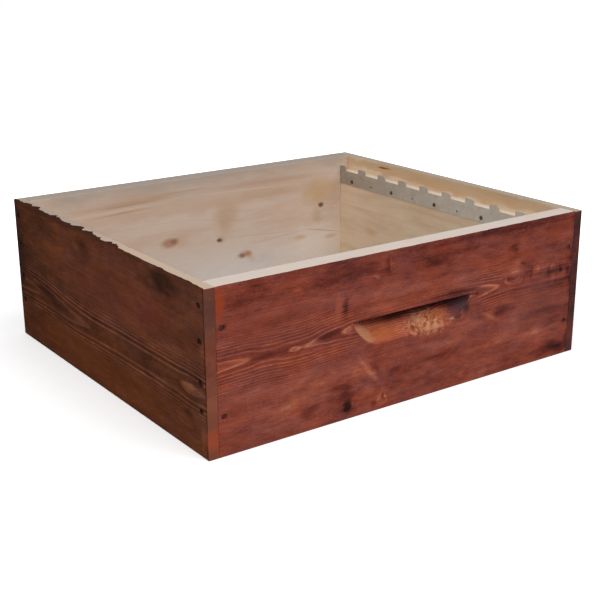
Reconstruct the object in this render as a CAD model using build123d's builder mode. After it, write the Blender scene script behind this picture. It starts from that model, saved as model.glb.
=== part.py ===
from build123d import *
import os
from math import cos, radians, sin, sqrt

# A wooden hive super: four nailed boards with no floor and no lid, and a notched steel strip along each
# side board that holds the frames apart. Millimetres. The origin is the centre of the box on the plane of
# its lower rim, +X runs along the frames from the left board to the right one, +Y from the front board to
# the back one, and +Z is up.

# Box
LENGTH = 500.0  # over the left and right boards
WIDTH = 440.0  # over the front and back boards
HEIGHT = 170.0
SIDE_THICK = 25.0  # left and right boards, which carry the frames
END_THICK = 22.0  # front and back boards, which have the hand holds
TONGUE = 11.5  # wood that the rebates leave along the outside of a side board
REST_DEPTH = 20.0  # from the top edge down to the ledge of the frame rebate
EASE = 0.6  # sanded arris

# Hand hold, scooped out by a round cutter that leans away from the board
HOLD_LENGTH = 164.0  # along its straight top edge
HOLD_HEIGHT = 30.0  # from the foot of its floor to its top edge, on the board's face
HOLD_TOP = 103.0  # top edge above the lower rim
HOLD_TILT = 25.0  # degrees between its floor and the board's face
CUTTER_RADIUS = 60.0

# Frame spacer, a strip of galvanised sheet
SHEET = 0.8
SPACER_FOOT = 18.0  # part of the strip below the ledge
NOTCH_RISE = 1.0  # floor of a notch above the ledge
TOOTH_HEIGHT = 6.5
TOOTH_CLIP = 1.5  # clipped corners of the teeth, which guide the lugs in
NOTCH_WIDTH = 27.0
NOTCH_PITCH = 42.7  # from frame to frame
SPACER_GAP = 0.5  # between an end of the strip and the board there
SPACER_HOLE_RADIUS = 1.3
SPACER_HOLE_DROP = 13.5  # from the floor of a notch down to the hole below it

# Box nails of square wire with a diamond point, set below the surface
NAIL_LENGTH = 50.0
NAIL_WIRE = 2.2
NAIL_POINT = 4.0
NAIL_TIP = 0.4
NAIL_HEAD_RADIUS = 2.8
NAIL_HEAD_THICK = 1.0
NAIL_SINK = 1.5  # top of the head below the board's face
SIDE_NAIL_RISES = (47.0, 76.0)  # lower nails through a side board, above the lower rim
SIDE_NAIL_DROPS = (53.5, 18.5)  # upper ones, below the upper rim
FACE_NAIL_RISE = 41.0  # lower nail through an end board, above the lower rim
FACE_NAIL_DROP = 41.0  # upper one, below the upper rim

# Spacer nails of square wire
TACK_LENGTH = 16.0
TACK_WIRE = 1.6
TACK_HEAD_RADIUS = 2.8
TACK_HEAD_THICK = 1.0
TACK_HEAD_TAPER = 35.0  # degrees that its rim leans in

HEAD_SIDES = 12  # flats round a stamped nail head
NAIL_FIT = 0.05  # between a nail and the wood round it

# What follows from the sizes above
ledge = HEIGHT - REST_DEPTH
rebate = SIDE_THICK - TONGUE
end_length = LENGTH - 2 * TONGUE
inner_length = LENGTH - 2 * SIDE_THICK
inner_width = WIDTH - 2 * END_THICK
notch_floor = ledge + NOTCH_RISE
tooth_top = notch_floor + TOOTH_HEIGHT
notch_count = int(inner_width // NOTCH_PITCH)
spacer_hole_height = notch_floor - SPACER_HOLE_DROP

side_nail_heights = [*SIDE_NAIL_RISES, *(HEIGHT - drop for drop in SIDE_NAIL_DROPS)]
face_nail_heights = [FACE_NAIL_RISE, HEIGHT - FACE_NAIL_DROP]


def side_nail_planes(x_sign, y_sign):
    """Planes on a side board's outer face, one per nail, at the middle of the end board behind it."""
    x = x_sign * LENGTH / 2
    y = y_sign * (WIDTH - END_THICK) / 2
    return [Plane(origin=(x, y, z), z_dir=(x_sign, 0, 0)) for z in side_nail_heights]


def face_nail_planes(x_sign, y_sign):
    """Planes on an end board's outer face, one per nail, at the middle of the shoulder behind it."""
    x = x_sign * (end_length - rebate) / 2
    y = y_sign * WIDTH / 2
    return [Plane(origin=(x, y, z), z_dir=(0, y_sign, 0)) for z in face_nail_heights]


def corner_nail_planes(corners):
    """Planes of every box nail at the given corners."""
    planes = []
    for x_sign, y_sign in corners:
        planes += side_nail_planes(x_sign, y_sign) + face_nail_planes(x_sign, y_sign)
    return planes


def tack_planes(x_sign):
    """Planes on the bare side of a frame spacer, below every second notch."""
    x = x_sign * (inner_length / 2 - SHEET)
    first = -(notch_count - 1) / 2 * NOTCH_PITCH
    return [
        Plane(origin=(x, first + place * NOTCH_PITCH, spacer_hole_height), z_dir=(-x_sign, 0, 0))
        for place in range(0, notch_count, 2)
    ]


# One box nail, point down, with the board's face at the height of its origin, and the bore that it makes in
# the boards, whose step seats the sunk head.
nail_neck = -NAIL_SINK - NAIL_HEAD_THICK
nail_tip = -NAIL_SINK - NAIL_LENGTH

with BuildPart() as box_nail:
    with BuildSketch(Plane.XY.offset(nail_neck)):
        RegularPolygon(NAIL_HEAD_RADIUS, HEAD_SIDES)
    extrude(amount=NAIL_HEAD_THICK)
    with BuildSketch(Plane.XY.offset(nail_neck)):
        Rectangle(NAIL_WIRE, NAIL_WIRE)
    extrude(amount=nail_tip + NAIL_POINT - nail_neck)
    with BuildSketch(Plane.XY.offset(nail_tip + NAIL_POINT)):
        Rectangle(NAIL_WIRE, NAIL_WIRE)
    with BuildSketch(Plane.XY.offset(nail_tip)):
        Rectangle(NAIL_TIP, NAIL_TIP)
    loft(ruled=True)

with BuildPart() as nail_bore:
    with BuildSketch(Plane.XY):
        RegularPolygon(NAIL_HEAD_RADIUS + NAIL_FIT, HEAD_SIDES)
    extrude(amount=nail_neck)
    with BuildSketch(Plane.XY.offset(nail_neck)):
        Rectangle(NAIL_WIRE + 2 * NAIL_FIT, NAIL_WIRE + 2 * NAIL_FIT)
    extrude(amount=nail_tip - NAIL_FIT - nail_neck)

# One blunt spacer nail, whose head lies on the strip, and its bore in the board behind.
with BuildPart() as tack:
    with BuildSketch(Plane.XY):
        RegularPolygon(TACK_HEAD_RADIUS, HEAD_SIDES)
    extrude(amount=TACK_HEAD_THICK, taper=TACK_HEAD_TAPER)
    with BuildSketch(Plane.XY):
        Rectangle(TACK_WIRE, TACK_WIRE)
    extrude(amount=-TACK_LENGTH)

with BuildPart() as tack_bore:
    with BuildSketch(Plane.XY):
        Rectangle(TACK_WIRE + 2 * NAIL_FIT, TACK_WIRE + 2 * NAIL_FIT)
    extrude(amount=-TACK_LENGTH - NAIL_FIT)

# Cutter of the hand hold in the front board. Its flat end makes the top wall, its side the sloping floor
# and the round ends, so the cut is deepest at the top and runs out to nothing at the bottom.
tilt = radians(HOLD_TILT)
hold_floor = HOLD_HEIGHT * cos(tilt)
hold_depth = hold_floor * sin(tilt)
hold_bite = HOLD_HEIGHT * sin(tilt)
round_end = sqrt(CUTTER_RADIUS**2 - (CUTTER_RADIUS - hold_bite) ** 2)
hold_foot = Vector(0, -WIDTH / 2, HOLD_TOP - HOLD_HEIGHT)
cutter_axis = Vector(0, sin(tilt), cos(tilt))
cutter_side = Vector(0, -cos(tilt), sin(tilt))
cutter_top = hold_foot + cutter_axis * hold_floor + cutter_side * CUTTER_RADIUS

with BuildPart() as hold_cutter:
    with BuildSketch(Plane(origin=cutter_top, x_dir=(1, 0, 0), z_dir=cutter_axis)):
        SlotCenterToCenter(HOLD_LENGTH - 2 * round_end, 2 * CUTTER_RADIUS)
    extrude(amount=-2 * hold_floor)

# Front board: it lies between the tongues of the side boards and fills the ends of their frame rebates.
with BuildPart() as front_board:
    with BuildSketch(Plane.XY):
        with Locations((0, -(WIDTH - END_THICK) / 2)):
            Rectangle(end_length, END_THICK)
    extrude(amount=HEIGHT)
    chamfer(front_board.edges(), EASE)
    add(hold_cutter.part, mode=Mode.SUBTRACT)
    with Locations(*corner_nail_planes([(-1, -1), (1, -1)])):
        add(nail_bore.part, mode=Mode.SUBTRACT)

with BuildPart() as back_board:
    mirror(front_board.part, about=Plane.XZ)

# Left board: an L section along its whole length, where the step carries the frames' lugs, with an upright
# rebate at each end that takes the front and the back board.
outer_face = -LENGTH / 2
inner_face = outer_face + SIDE_THICK
tongue_face = outer_face + TONGUE

with BuildPart() as left_board:
    with BuildSketch(Plane.XZ):
        with BuildLine():
            Polyline(
                (outer_face, 0),
                (inner_face, 0),
                (inner_face, ledge),
                (tongue_face, ledge),
                (tongue_face, HEIGHT),
                (outer_face, HEIGHT),
                close=True,
            )
        make_face()
    extrude(amount=WIDTH / 2, both=True)
    with BuildSketch(Plane.XY):
        with Locations(((tongue_face + inner_face) / 2, 0)):
            with GridLocations(0, WIDTH - END_THICK, 1, 2):
                Rectangle(rebate, END_THICK)
    extrude(amount=HEIGHT, mode=Mode.SUBTRACT)
    chamfer(left_board.edges().filter_by(Edge.is_interior, reverse=True), EASE)
    with Locations(*corner_nail_planes([(-1, -1), (-1, 1)])):
        add(nail_bore.part, mode=Mode.SUBTRACT)
    with Locations(*tack_planes(-1)):
        add(tack_bore.part, mode=Mode.SUBTRACT)

with BuildPart() as right_board:
    mirror(left_board.part, about=Plane.YZ)

# Left frame spacer: a strip on the board's inner face that stands up past the ledge, with a notch for the
# lug of each frame, and a nail hole below each notch.
spacer_length = inner_width - 2 * SPACER_GAP
spacer_height = SPACER_FOOT + NOTCH_RISE + TOOTH_HEIGHT

with BuildPart() as left_frame_spacer:
    with BuildSketch(Plane.YZ.offset(inner_face)) as spacer_blank:
        with Locations((0, tooth_top - spacer_height / 2)):
            Rectangle(spacer_length, spacer_height)
        with Locations((0, notch_floor + TOOTH_HEIGHT / 2)):
            with GridLocations(NOTCH_PITCH, 0, notch_count, 1):
                Rectangle(NOTCH_WIDTH, TOOTH_HEIGHT, mode=Mode.SUBTRACT)
        chamfer(spacer_blank.vertices().group_by(Axis.Y)[-1], TOOTH_CLIP)
        with Locations((0, spacer_hole_height)):
            with GridLocations(NOTCH_PITCH, 0, notch_count, 1):
                Circle(SPACER_HOLE_RADIUS, mode=Mode.SUBTRACT)
    extrude(amount=SHEET)

with BuildPart() as right_frame_spacer:
    mirror(left_frame_spacer.part, about=Plane.YZ)

pieces = {
    "front_board": front_board,
    "back_board": back_board,
    "left_board": left_board,
    "right_board": right_board,
    "left_frame_spacer": left_frame_spacer,
    "right_frame_spacer": right_frame_spacer,
}

# The nails of each corner, through the side board and through the end board, and those of each spacer.
for side, x_sign in (("left", -1), ("right", 1)):
    for end, y_sign in (("front", -1), ("back", 1)):
        with BuildPart() as side_nails:
            with Locations(*side_nail_planes(x_sign, y_sign)):
                add(box_nail.part)
        pieces[f"{end}_{side}_side_nails"] = side_nails
        with BuildPart() as face_nails:
            with Locations(*face_nail_planes(x_sign, y_sign)):
                add(box_nail.part)
        pieces[f"{end}_{side}_face_nails"] = face_nails
    with BuildPart() as spacer_nails:
        with Locations(*tack_planes(x_sign)):
            add(tack.part)
    pieces[f"{side}_spacer_nails"] = spacer_nails

os.makedirs("parts", exist_ok=True)
for name, piece in pieces.items():
    piece.part.label = name
    export_step(piece.part, f"parts/{name}.step")
    print(name, len(piece.solids()), round(piece.part.volume))

print("hand hold depth", round(hold_depth, 2), "notches", notch_count)
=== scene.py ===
# %% [markdown]
# # A hive super in stained spruce
# This lesson finishes a beekeeper's hive super: four spruce boards nailed at rebated corners, a notched
# strip of galvanised steel on each side board, and a red-brown glaze on the outside only. The boards,
# strips and nails come from the CAD model at their real size and stay where they are. What is left to do is
# the wear of the wood, and the look of the wood, the glaze and the metal, so most of the lesson is about
# materials.

# %% Load the CAD model
import math

import bmesh
import bpy
from mathutils import Matrix, Vector, noise


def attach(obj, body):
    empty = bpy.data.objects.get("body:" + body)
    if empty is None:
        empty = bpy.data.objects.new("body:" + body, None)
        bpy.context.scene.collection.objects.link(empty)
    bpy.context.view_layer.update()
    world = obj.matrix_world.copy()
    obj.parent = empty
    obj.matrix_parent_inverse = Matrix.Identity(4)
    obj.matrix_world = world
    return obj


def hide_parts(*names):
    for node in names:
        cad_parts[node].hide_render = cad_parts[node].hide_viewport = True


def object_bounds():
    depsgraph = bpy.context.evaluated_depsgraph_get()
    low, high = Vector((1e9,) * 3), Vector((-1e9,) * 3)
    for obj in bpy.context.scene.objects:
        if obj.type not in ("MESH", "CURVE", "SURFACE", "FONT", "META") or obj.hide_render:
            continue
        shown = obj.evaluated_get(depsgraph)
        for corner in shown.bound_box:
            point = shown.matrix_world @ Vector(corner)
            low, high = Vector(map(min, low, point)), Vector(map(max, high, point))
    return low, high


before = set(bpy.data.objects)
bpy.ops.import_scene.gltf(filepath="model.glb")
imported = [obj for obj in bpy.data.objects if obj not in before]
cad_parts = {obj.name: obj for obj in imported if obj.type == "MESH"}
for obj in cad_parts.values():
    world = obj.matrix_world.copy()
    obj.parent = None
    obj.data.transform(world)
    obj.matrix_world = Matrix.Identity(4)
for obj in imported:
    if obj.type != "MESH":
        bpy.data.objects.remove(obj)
cad_low, cad_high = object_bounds()
MM = 0.001
PER_MM = 1 / MM
BOX_LENGTH, BOX_WIDTH, BOARD_HEIGHT = [round(side * PER_MM, 3) for side in cad_high - cad_low]
print("nodes", len(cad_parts), "box in mm", BOX_LENGTH, BOX_WIDTH, BOARD_HEIGHT)

# %% [markdown]
# ## Camera
# The photograph looks down on the near left corner. Its camera can be found from the box itself: the
# corners of a box of known size, seen in perspective, fix the distance, the direction and the focal length.
# A camera is then placed by the point it stands at, the point it looks at and a very slight roll.

# %% Camera
CAMERA_PLACE = Vector((-731.5, -1044.4, 472.7)) * MM
CAMERA_AIM = Vector((10.5, -7.5, 49.4)) * MM
CAMERA_ROLL = math.radians(-0.22)
CAMERA_LENS = 66.69
CAMERA_SENSOR = 36.0

camera = bpy.data.objects.new("camera", bpy.data.cameras.new("camera"))
bpy.context.collection.objects.link(camera)
camera.data.lens = CAMERA_LENS
camera.data.sensor_width = CAMERA_SENSOR
looking = (CAMERA_AIM - CAMERA_PLACE).to_track_quat("-Z", "Y").to_matrix().to_4x4()
camera.matrix_world = Matrix.Translation(CAMERA_PLACE) @ looking @ Matrix.Rotation(CAMERA_ROLL, 4, "Z")
bpy.context.scene.camera = camera
bpy.context.scene.view_settings.view_transform = "Standard"
print("camera stands", round((CAMERA_AIM - CAMERA_PLACE).length, 3), "m from what it looks at")

# %% [markdown]
# ## Helpers for every material
# Colours are written as the sRGB hex values that a paint chart would give, and shaders want linear light,
# so one function turns the first into the second. Another adds one node: its settings go in by name, and
# each input takes a plain value or another node, whose first output is then linked. Written this way, a
# tree of nodes reads from top to bottom like a sum.

# %% Colour and node helpers
def linear(hex_colour):
    """The linear red, green, blue and alpha of an sRGB hex colour."""
    parts = [int(hex_colour[place:place + 2], 16) / 255 for place in (1, 3, 5)]
    return [p / 12.92 if p <= 0.04045 else ((p + 0.055) / 1.055) ** 2.4 for p in parts] + [1.0]


def plug(tree, node, inputs):
    """Gives a node's inputs, in order or by name, plain values or the first outputs of other nodes."""
    for key, value in inputs.items() if isinstance(inputs, dict) else enumerate(inputs):
        shown = [socket for socket in node.inputs if socket.enabled]
        socket = shown[key] if isinstance(key, int) else next(s for s in shown if s.name == key)
        if isinstance(value, bpy.types.Node):
            value = next(output for output in value.outputs if output.enabled)
        if isinstance(value, bpy.types.NodeSocket):
            tree.links.new(value, socket)
        else:
            socket.default_value = value


def add_node(tree, kind, inputs=(), stops=(), curve=(), **settings):
    """Adds a node. stops are a ramp's, curve the points of a curve, and both start with the two ends."""
    node = tree.nodes.new("ShaderNode" + kind)
    for name, value in settings.items():
        setattr(node, name, value)
    plug(tree, node, inputs)
    for index, (place, colour) in enumerate(stops):
        elements = node.color_ramp.elements
        element = elements[index] if index < 2 else elements.new(place)
        element.position = place
        element.color = linear(colour)
    for index, place in enumerate(curve):
        points = node.mapping.curves[0].points
        point = points[index] if index < 2 else points.new(*place)
        point.location = place
        point.handle_type = "AUTO_CLAMPED"
    if curve:
        node.mapping.update()
    return node


def new_material(name):
    """A material with a Principled shader on its output, and its tree and shader."""
    material = bpy.data.materials.new(name)
    material.use_nodes = True
    return material, material.node_tree, material.node_tree.nodes["Principled BSDF"]


print("earlywood of spruce in linear light", [round(part, 3) for part in linear("#dcc5ab")[:3]])

# %% [markdown]
# ## Floor and light
# The box stands on a white sweep. In the hand hold the left end is lit and the right end dark, the rims are
# the brightest wood, and no edge of a shadow crosses the inside: that is a bright overcast sky, with two
# very broad lamps that stand high, the stronger one to the right of the front, the other to the left. The
# floor and the sky show the camera plain white, but light the box no more than a grey studio would, and the
# floor keeps the shadow.

# %% Floor and sky
FLOOR_SIDE = 12.0
WHITE, FLOOR_BOUNCE, FLOOR_PAPER = "#ffffff", "#7d7d7d", "#f4f4f4"
PAPER_ROUGHNESS = 0.9
FLOOR_LIFT = 0.36
SHADOW_REACH, WHITE_REACH = 0.36, 0.72
SKY_LEVEL = 0.42


def seen_directly(tree):
    """1 for what the camera sees, straight or by a glossy or clear surface, 0 for light on its way."""
    path = add_node(tree, "LightPath").outputs
    mirrored = add_node(tree, "Math", [path["Is Glossy Ray"], path["Is Transmission Ray"]],
                        operation="MAXIMUM")
    return add_node(tree, "Math", [path["Is Camera Ray"], mirrored], operation="MAXIMUM")


world = bpy.data.worlds.new("soft studio")
bpy.context.scene.world = world
world.use_nodes = True
sky = world.node_tree
bright = add_node(sky, "MapRange", {"Value": seen_directly(sky), "To Min": SKY_LEVEL, "To Max": 1.0})
plug(sky, sky.nodes["Background"], {"Color": linear(WHITE), "Strength": bright})

half = FLOOR_SIDE / 2
floor_corners = [(-half, -half, 0), (half, -half, 0), (half, half, 0), (-half, half, 0)]
floor_mesh = bpy.data.meshes.new("floor")
floor_mesh.from_pydata(floor_corners, [], [(0, 1, 2, 3)])
floor = bpy.data.objects.new("floor", floor_mesh)
floor.location.z = cad_low.z
bpy.context.collection.objects.link(floor)

# Matt paper scatters light evenly: it shows a soft shadow and no highlight, and is white away from the box.
material, tree, shader = new_material("matt white paper sweep")
seen = seen_directly(tree)
paper = add_node(tree, "Mix", {"Factor": seen, "A": linear(FLOOR_BOUNCE), "B": linear(FLOOR_PAPER)},
                 data_type="RGBA")
place = add_node(tree, "TexCoord").outputs["Object"]
away = add_node(tree, "VectorMath", [place], operation="LENGTH").outputs["Value"]
lift = add_node(tree, "MapRange", {"Value": away, "From Min": SHADOW_REACH, "From Max": WHITE_REACH,
                                   "To Min": FLOOR_LIFT, "To Max": 1.0}, interpolation_type="SMOOTHSTEP")
glow = add_node(tree, "Math", [lift, seen], operation="MULTIPLY")
plug(tree, shader, {"Base Color": paper, "Roughness": PAPER_ROUGHNESS, "Emission Color": linear(WHITE),
                    "Emission Strength": glow})
floor_mesh.materials.append(material)
print("floor", FLOOR_SIDE, "m wide, sky at", SKY_LEVEL, "of white")

# %% Lamps
LAMP_DISTANCE = 3.2
# Each lamp: degrees round from the front, degrees up, its level on what faces it, and its width in metres.
LAMPS = {"window": (26, 52, 0.46, 3.0), "fill": (-62, 48, 0.38, 3.0)}
for name, (azimuth, elevation, level, width) in LAMPS.items():
    turn, tip = math.radians(azimuth), math.radians(elevation)
    towards = Vector((math.sin(turn) * math.cos(tip), -math.cos(turn) * math.cos(tip), math.sin(tip)))
    lamp = bpy.data.objects.new(name + " lamp", bpy.data.lights.new(name + " lamp", "AREA"))
    lamp.data.shape = "DISK"
    lamp.data.size = width
    lamp.data.energy = level * (math.pi * LAMP_DISTANCE) ** 2
    lamp.location = towards * LAMP_DISTANCE
    lamp.rotation_mode = "QUATERNION"
    lamp.rotation_quaternion = (-towards).to_track_quat("-Z", "Y")
    bpy.context.collection.objects.link(lamp)
    print(name, "lamp", round(lamp.data.energy, 1), "W")

# %% [markdown]
# ## The boards as the maker left them
# The CAD boards are perfect. On the real box every nail was driven below the surface, which crushed and
# tore the wood round its head, and the cutter that scooped the front hand hold tore lumps out of the wild
# grain of a knot and left a splinter standing. Sculpting by hand could make these, but would not repeat. So
# each board gets a copy that is sliced into small cells only where something happened to it, and the points
# there are moved by formula. The slices are planes along and up the board, which leaves a tidy grid in each
# window and the rest of the board plain.

# %% Where each board lies, and its windows
AXES = "XYZ"
END_NAIL_IN, END_NAIL_HEIGHTS = 18.25, (41.0, 129.0)
SIDE_NAIL_IN, SIDE_NAIL_HEIGHTS = 11.0, (47.0, 76.0, 116.5, 151.5)
END_NAILS = [(side * (BOX_LENGTH / 2 - END_NAIL_IN), up) for side in (-1, 1) for up in END_NAIL_HEIGHTS]
SIDE_NAILS = [(end * (BOX_WIDTH / 2 - SIDE_NAIL_IN), up) for end in (-1, 1) for up in SIDE_NAIL_HEIGHTS]
NAIL_WINDOW, NAIL_CELL = (8.5, 6.0), 0.9
HOLD_WINDOW, HOLD_CELL = ((0.0, 83.0), (84.0, 23.0)), 1.4
END_BOARD = {"along": "X", "into": "Y", "length": BOX_LENGTH, "nails": END_NAILS, "hold": True}
SIDE_BOARD = {"along": "Y", "into": "X", "length": BOX_WIDTH, "nails": SIDE_NAILS, "hold": False}
BOARDS = {
    "front_board": {**END_BOARD, "outer": -BOX_WIDTH / 2, "inward": 1},
    "back_board": {**END_BOARD, "outer": BOX_WIDTH / 2, "inward": -1},
    "left_board": {**SIDE_BOARD, "outer": -BOX_LENGTH / 2, "inward": 1},
    "right_board": {**SIDE_BOARD, "outer": BOX_LENGTH / 2, "inward": -1},
}
# How much of a face's normal has to point outward, and how near in millimetres two points count as one.
OUTWARD, HAIR = 0.2, 0.001


def slice_window(mesh, board, middle, half_size, cell):
    """Slices the faces that look outward in a window on the outer face, and gives the points there."""
    along, into = AXES.index(board["along"]), AXES.index(board["into"])
    spans = [(along, middle[0], half_size[0]), (2, middle[1], half_size[1])]
    cuts = [(axis, centre + side * reach) for axis, centre, reach in spans for side in (-1, 1)]
    for axis, centre, reach in spans:
        count = math.ceil(2 * reach / cell)
        cuts += [(axis, centre - reach + 2 * reach * step / count) for step in range(1, count)]

    def in_window(face):
        for axis, centre, reach in spans:
            places = [vert.co[axis] - centre for vert in face.verts]
            if max(places) < HAIR - reach or min(places) > reach - HAIR:
                return False
        return True

    faces = [face for face in mesh.faces if -board["inward"] * face.normal[into] > OUTWARD]
    for axis, place in cuts:
        faces = [face for face in faces if in_window(face)]
        edges = {edge for face in faces for edge in face.edges}
        verts = {vert for face in faces for vert in face.verts}
        normal = Vector([float(number == axis) for number in range(3)])
        cut = bmesh.ops.bisect_plane(mesh, geom=[*verts, *edges, *faces], dist=HAIR,
                                     plane_co=normal * place, plane_no=normal)
        faces = [piece for piece in cut["geom"] if isinstance(piece, bmesh.types.BMFace)]
    return {vert for face in faces if in_window(face) for vert in face.verts}


print("windows on a side board", len(SIDE_NAILS))

# %% [markdown]
# Four things move points. A nail leaves an oval dent, longer along the grain, with a ragged edge. The torn
# knot is an oval with a ragged edge too, and inside it hard-edged turbulence gives the flakes and pits of
# torn wood. The splinter stands up a little, and the straight top edge of each hold has a few nicks.
# Nothing comes out of the board's outer face.

# %% Dents, torn wood and nicks
DENT_SIZE, DENT_DEPTH, DENT_RAG, DENT_GRAIN = (6.5, 4.4), 0.9, 0.25, (3.0, 2.0)
TORN_BOARD = "front_board"
TORN_MIDDLE, TORN_SIZE, TORN_DEPTH = (20.0, 80.5), (33.0, 14.0), 1.8
TORN_RAG, TORN_GRAIN, TORN_SEED, TORN_EDGE = 0.45, (6.0, 4.0), 3, 0.30
FLAKE_SIZE, FLAKE_SEED, FLAKE_OCTAVES = (6.0, 9.0), 7, 4
SPLINTER_MIDDLE, SPLINTER_SIZE, SPLINTER_RISE = (55.5, 79.5), (4.2, 2.6), 1.1
HOLD_TOP, HOLD_REACH, NICK_LENGTH, NICK_SIZE = 103.0, 80.0, 5.0, 0.45
# How fast the octaves of the nicks fade, how much finer each is, and how many there are.
NICK_OCTAVES = (0.8, 2.0, 3)


def ease(value):
    """A smooth step from 0 to 1."""
    value = min(max(value, 0.0), 1.0)
    return value * value * (3 - 2 * value)


def away_from(along, up, middle, size):
    """How far a point is from an oval's middle, where 1 is its edge."""
    return math.hypot((along - middle[0]) / size[0], (up - middle[1]) / size[1])


def dent_depth(along, up, nail):
    """Millimetres that a nail pushed the wood in."""
    rag = DENT_RAG * noise.noise(Vector((along / DENT_GRAIN[0], up / DENT_GRAIN[1], 0)))
    return DENT_DEPTH * (1 - ease(away_from(along, up, nail, DENT_SIZE) + rag))


def torn_depth(along, up):
    """Millimetres that the cutter tore out of the front hold, less the splinter that it left."""
    rag = TORN_RAG * noise.noise(Vector((along / TORN_GRAIN[0], up / TORN_GRAIN[1], TORN_SEED)))
    torn = ease((1 - away_from(along, up, TORN_MIDDLE, TORN_SIZE) - rag) / TORN_EDGE)
    flake = Vector((along / FLAKE_SIZE[0], up / FLAKE_SIZE[1], FLAKE_SEED))
    splinter = SPLINTER_RISE * (1 - ease(away_from(along, up, SPLINTER_MIDDLE, SPLINTER_SIZE)))
    return TORN_DEPTH * torn * noise.turbulence(flake, FLAKE_OCTAVES, True) - splinter


def wear(verts, board, depth_at):
    """Moves points into the board by what depth_at gives, never out of its outer face."""
    along, into = AXES.index(board["along"]), AXES.index(board["into"])
    for vert in verts:
        depth = board["inward"] * (vert.co[into] - board["outer"])
        worn = max(depth + depth_at(vert.co[along], vert.co.z), min(depth, 0.0))
        vert.co[into] = board["outer"] + board["inward"] * worn


def nick_hold(verts, board):
    """Makes the top edge of a hold a little uneven."""
    along, into = AXES.index(board["along"]), AXES.index(board["into"])
    for vert in verts:
        on_edge = abs(vert.co.z - HOLD_TOP) < HAIR and abs(vert.co[into] - board["outer"]) < HAIR
        if on_edge and abs(vert.co[along]) < HOLD_REACH:
            notch = Vector((vert.co[along] / NICK_LENGTH, board["outer"], 0))
            vert.co.z += NICK_SIZE * noise.fractal(notch, *NICK_OCTAVES)


print("deepest dent", DENT_DEPTH, "mm, torn wood", TORN_DEPTH, "mm")

# %% Worked copies of the boards
FLAT, SHARP = math.radians(0.5), math.radians(30)
for name, board in BOARDS.items():
    shaped = bmesh.new()
    shaped.from_mesh(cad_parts[name].data)
    bmesh.ops.scale(shaped, vec=[PER_MM] * 3, verts=shaped.verts)
    bmesh.ops.remove_doubles(shaped, verts=shaped.verts, dist=HAIR)
    bmesh.ops.dissolve_limit(shaped, angle_limit=FLAT, verts=shaped.verts, edges=shaped.edges)
    shaped.normal_update()
    if board["hold"]:
        verts = slice_window(shaped, board, *HOLD_WINDOW, HOLD_CELL)
        nick_hold(verts, board)
        if name == TORN_BOARD:
            wear(verts, board, torn_depth)
    for nail in board["nails"]:
        verts = slice_window(shaped, board, nail, NAIL_WINDOW, NAIL_CELL)
        wear(verts, board, lambda along, up: dent_depth(along, up, nail))
    bmesh.ops.scale(shaped, vec=[MM] * 3, verts=shaped.verts)
    for face in shaped.faces:
        face.smooth = True
    for edge in shaped.edges:
        edge.smooth = edge.calc_face_angle() < SHARP
    mesh = bpy.data.meshes.new("worked_" + name)
    shaped.to_mesh(mesh)
    shaped.free()
    board["piece"] = bpy.data.objects.new("worked_" + name, mesh)
    bpy.context.collection.objects.link(board["piece"])
    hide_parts(name)
    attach(board["piece"], "root")
    print(name, len(mesh.polygons), "faces")

# %% [markdown]
# ## Places on a board
# Every finish of a board starts from a place: millimetres along the board, up it, and in from its outer
# face. Noise drawn out along the grain moves a place about, so that lines wander and no spot has a clean
# edge. A spot is an oval, which may lean. Spots could be painted on a picture, but an oval in millimetres
# can be read and changed.

# %% Places, streaks and spots
CURVE_MARGIN = 0.01
BROAD = 9.5


def board_place(tree, board):
    """Millimetres along the board, up it, and in from its outer face."""
    coordinates = add_node(tree, "TexCoord").outputs["Object"]
    axes = add_node(tree, "SeparateXYZ", [coordinates]).outputs
    along = add_node(tree, "Math", [axes[board["along"]], PER_MM], operation="MULTIPLY")
    up = add_node(tree, "Math", [axes["Z"], PER_MM], operation="MULTIPLY")
    into = add_node(tree, "Math", [axes[board["into"]], board["inward"] * PER_MM,
                                   -board["inward"] * board["outer"]], operation="MULTIPLY_ADD")
    return add_node(tree, "CombineXYZ", [along, up, into])


def along_curve(tree, along, board, points):
    """A value that follows points listed along the board, given as (millimetres along, value)."""
    half = board["length"] / 2
    values = [value for place, value in points]
    low, high = min(values) - CURVE_MARGIN, max(values) + CURVE_MARGIN
    share = add_node(tree, "MapRange", {"Value": along, "From Min": -half, "From Max": half})
    curve = [((place + half) / (2 * half), (value - low) / (high - low)) for place, value in points]
    drawn = add_node(tree, "FloatCurve", {"Value": share}, curve=[curve[0], curve[-1], *curve[1:-1]])
    return add_node(tree, "MapRange", {"Value": drawn, "To Min": low, "To Max": high})


def streaks(tree, place, board, length, width, detail=2.0, roughness=0.5):
    """Noise drawn out along the grain, as long and as wide as the given millimetres."""
    stretched = add_node(tree, "VectorMath", [place, (1 / length, 1 / width, 1 / width),
                                              (board["seed"], length, width)], operation="MULTIPLY_ADD")
    return add_node(tree, "TexNoise",
                    {"Vector": stretched, "Scale": 1.0, "Detail": detail, "Roughness": roughness})


def wobbled(tree, place, board, length, width, reach, detail=1.0):
    """A place moved about by noise of that length and width, by up to half of reach."""
    swing = streaks(tree, place, board, length, width, detail).outputs["Color"]
    centred = add_node(tree, "VectorMath", [swing, (0.5, 0.5, 0.5)], operation="SUBTRACT")
    return add_node(tree, "VectorMath", [centred, reach, place], operation="MULTIPLY_ADD")


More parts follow.
